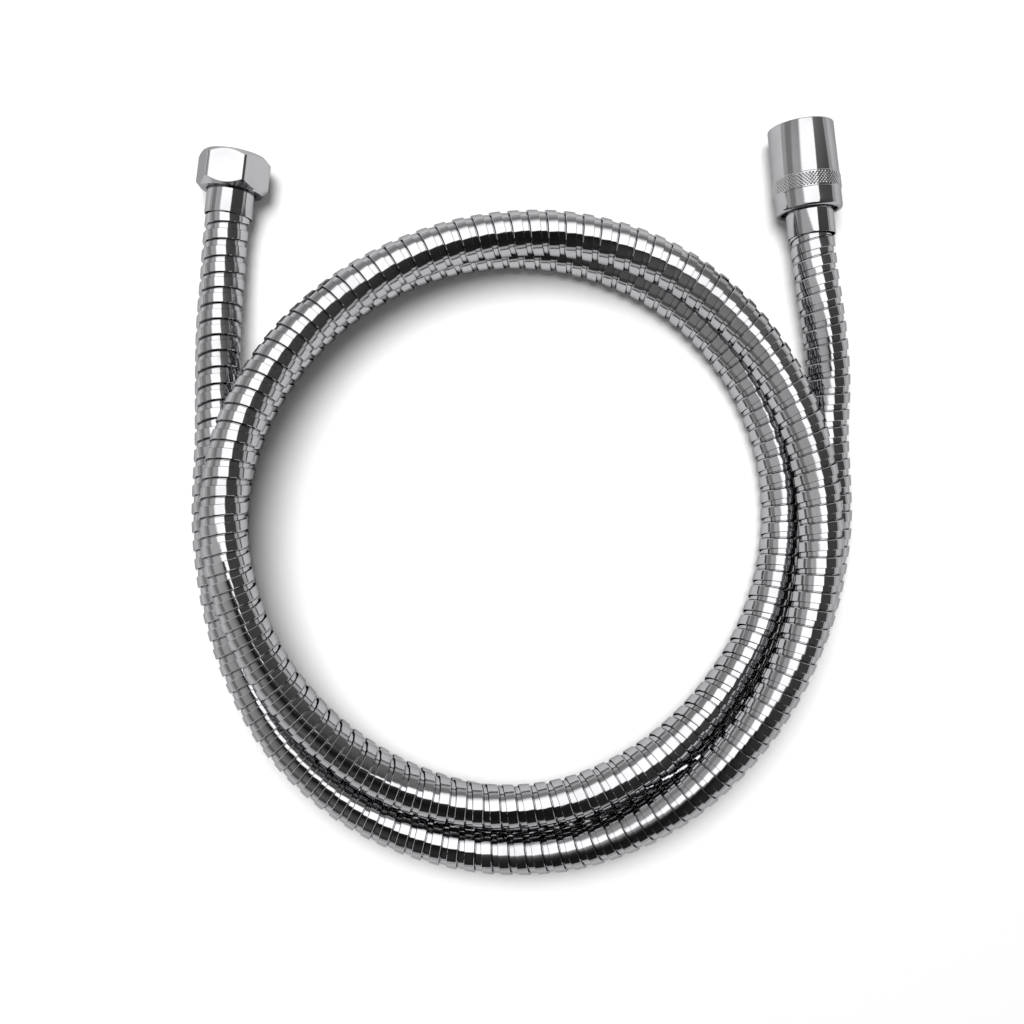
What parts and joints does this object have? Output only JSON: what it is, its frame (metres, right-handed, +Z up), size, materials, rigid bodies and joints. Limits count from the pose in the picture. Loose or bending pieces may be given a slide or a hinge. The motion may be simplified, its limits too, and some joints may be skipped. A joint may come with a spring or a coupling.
{
  "type": "flexible shower hose",
  "caption": "Flexible metal shower hose lying in a loose coil, with a hexagonal union nut at one end and a long knurled union nut at the other.",
  "frame": {"origin": "the middle of the lying coil's footprint, on the surface it lies on", "axes": "+Z up from the surface, +Y across the coil towards the side where both hose ends leave it, +X towards the long knurled nut"},
  "size_m": [0.225, 0.2538, 0.0456],
  "materials": {
    "chrome_casing": "polished, chrome-plated interlocked metal strip",
    "chrome_fitting": "polished chrome plate on brass",
    "bare_brass": "machined, unplated inside",
    "tube_rubber": "smooth extruded",
    "washer_rubber": "moulded, matte"
  },
  "bodies": {
    "hose": {"hose_casing": "chrome_casing", "inner_tube": "tube_rubber", "hex_ferrule": "chrome_fitting", "hex_nipple": "bare_brass", "cone_ferrule": "chrome_fitting", "cone_nipple": "bare_brass"},
    "hex_nut": {"hex_nut": "chrome_fitting", "hex_washer": "washer_rubber"},
    "cone_nut": {"cone_nut": "chrome_fitting", "cone_washer": "washer_rubber", "cone_bush": "chrome_fitting"}
  },
  "joints": [
    {"name": "hex_nut_turn", "type": "hinge", "parent": "hose", "child": "hex_nut", "pos_m": [-0.09991, 0.1058, 0.011], "axis": [0.1199, 0.9928, 0.0001], "continuous": true},
    {"name": "cone_nut_turn", "type": "hinge", "parent": "hose", "child": "cone_nut", "pos_m": [0.09699, 0.09955, 0.0116], "axis": [-0.106, 0.9944, -0.0001], "continuous": true}
  ]
}
